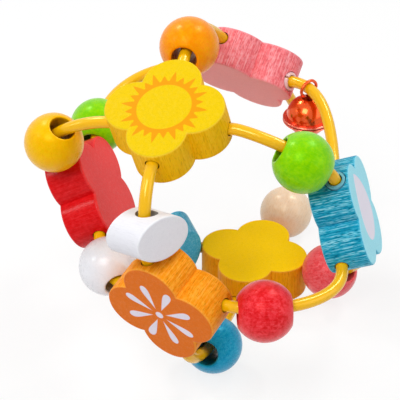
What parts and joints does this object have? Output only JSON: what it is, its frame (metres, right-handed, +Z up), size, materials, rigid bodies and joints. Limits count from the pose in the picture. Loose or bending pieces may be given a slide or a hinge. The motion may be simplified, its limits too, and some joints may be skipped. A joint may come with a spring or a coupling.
{
  "type": "baby activity ball",
  "caption": "Grasping ball of wooden quatrefoil blocks on crossing plastic hoops, with loose wooden beads and a jingle bell to slide, spin and shake.",
  "frame": {"origin": "on the floor under the middle of the footprint of the resting ball", "axes": "+Z up from the outer face of the base block that lies on the floor; +Y away from the side the picture shows"},
  "size_m": [0.1204, 0.1342, 0.1133],
  "materials": {
    "yellow_wood": "stained and lacquered beech, satin",
    "light_blue_wood": "stained and lacquered beech, satin",
    "red_wood": "stained and lacquered beech, satin",
    "rose_wood": "stained and lacquered beech, satin",
    "pink_wood": "stained and lacquered beech, satin",
    "orange_wood": "stained and lacquered beech, satin",
    "green_wood": "stained and lacquered beech, satin",
    "natural_wood": "clear lacquered beech, satin",
    "white_wood": "white painted beech, satin",
    "hoop_plastic": "smooth gloss",
    "ferrule_plastic": "smooth gloss",
    "bell_metal": "gloss lacquer over metal",
    "pellet_steel": "plain steel"
  },
  "bodies": {
    "frame": {"sun_block": "yellow_wood", "base_block": "yellow_wood", "blue_block": "light_blue_wood", "red_block": "red_wood", "pink_block": "pink_wood", "orange_block": "orange_wood", "outer_hoop": "hoop_plastic", "middle_hoop": "hoop_plastic", "inner_hoop": "hoop_plastic", "outer_hoop_ferrule": "ferrule_plastic", "middle_hoop_ferrule": "ferrule_plastic", "inner_hoop_ferrule": "ferrule_plastic"},
    "orange_bead": {"orange_bead": "orange_wood"},
    "yellow_bead": {"yellow_bead": "yellow_wood"},
    "green_bead": {"green_bead": "green_wood"},
    "back_green_bead": {"back_green_bead": "green_wood"},
    "natural_bead": {"natural_bead": "natural_wood"},
    "red_bead": {"red_bead": "red_wood"},
    "rose_bead": {"rose_bead": "rose_wood"},
    "blue_bead": {"blue_bead": "light_blue_wood"},
    "white_bead": {"white_bead": "white_wood"},
    "white_oval": {"white_oval": "white_wood"},
    "blue_oval": {"blue_oval": "light_blue_wood"},
    "bell": {"bell_top_shell": "bell_metal", "bell_bottom_shell": "bell_metal", "bell_loop": "bell_metal"},
    "pellet": {"bell_pellet": "pellet_steel"}
  },
  "joints": [
    {"name": "orange_bead_spin", "type": "hinge", "parent": "frame", "child": "orange_bead", "pos_m": [-0.0051, 0.01297, 0.10332], "axis": [-0.2078, -0.978, -0.0191], "continuous": true},
    {"name": "yellow_bead_spin", "type": "hinge", "parent": "frame", "child": "yellow_bead", "pos_m": [-0.05026, -0.00391, 0.07622], "axis": [-0.3921, 0.331, -0.8583], "continuous": true},
    {"name": "green_bead_spin", "type": "hinge", "parent": "frame", "child": "green_bead", "pos_m": [0.03119, -0.02899, 0.08457], "axis": [-0.8641, 0.1183, 0.4892], "continuous": true},
    {"name": "back_green_bead_spin", "type": "hinge", "parent": "frame", "child": "back_green_bead", "pos_m": [-0.03832, 0.03533, 0.05851], "axis": [0.1606, 0.9527, 0.2582], "continuous": true},
    {"name": "natural_bead_spin", "type": "hinge", "parent": "frame", "child": "natural_bead", "pos_m": [0.03167, 0.04983, 0.0103], "axis": [0.3724, 0.7288, 0.5746], "continuous": true},
    {"name": "red_bead_spin", "type": "hinge", "parent": "frame", "child": "red_bead", "pos_m": [0.01884, -0.05713, 0.04685], "axis": [-0.9985, -0.0535, 0.0063], "continuous": true},
    {"name": "rose_bead_spin", "type": "hinge", "parent": "frame", "child": "rose_bead", "pos_m": [0.04539, 0.00706, 0.01414], "axis": [0.6493, -0.5591, 0.5156], "continuous": true},
    {"name": "blue_bead_spin", "type": "hinge", "parent": "frame", "child": "blue_bead", "pos_m": [0.00303, -0.02967, 0.01027], "axis": [0.3107, 0.9067, -0.2854], "continuous": true},
    {"name": "white_bead_spin", "type": "hinge", "parent": "frame", "child": "white_bead", "pos_m": [-0.03236, -0.02419, 0.03992], "axis": [-0.3959, 0.8914, 0.2206], "continuous": true},
    {"name": "white_oval_spin", "type": "hinge", "parent": "frame", "child": "white_oval", "pos_m": [-0.018, -0.04845, 0.07065], "axis": [0.0193, -0.2665, -0.9636], "range_deg": [-30, 12]},
    {"name": "blue_oval_spin", "type": "hinge", "parent": "frame", "child": "blue_oval", "pos_m": [-0.01056, 0.02588, 0.0114], "axis": [0.8833, 0.292, -0.3667], "continuous": true},
    {"name": "bell_swing", "type": "hinge", "parent": "frame", "child": "bell", "pos_m": [0.03655, 0.02844, 0.07815], "axis": [0.6324, -0.7747, 0], "range_deg": [-100, 100]},
    {"name": "pellet_jump", "type": "slide", "parent": "bell", "child": "pellet", "axis": [0, 0, 1], "range_m": [0, 0.008]}
  ]
}
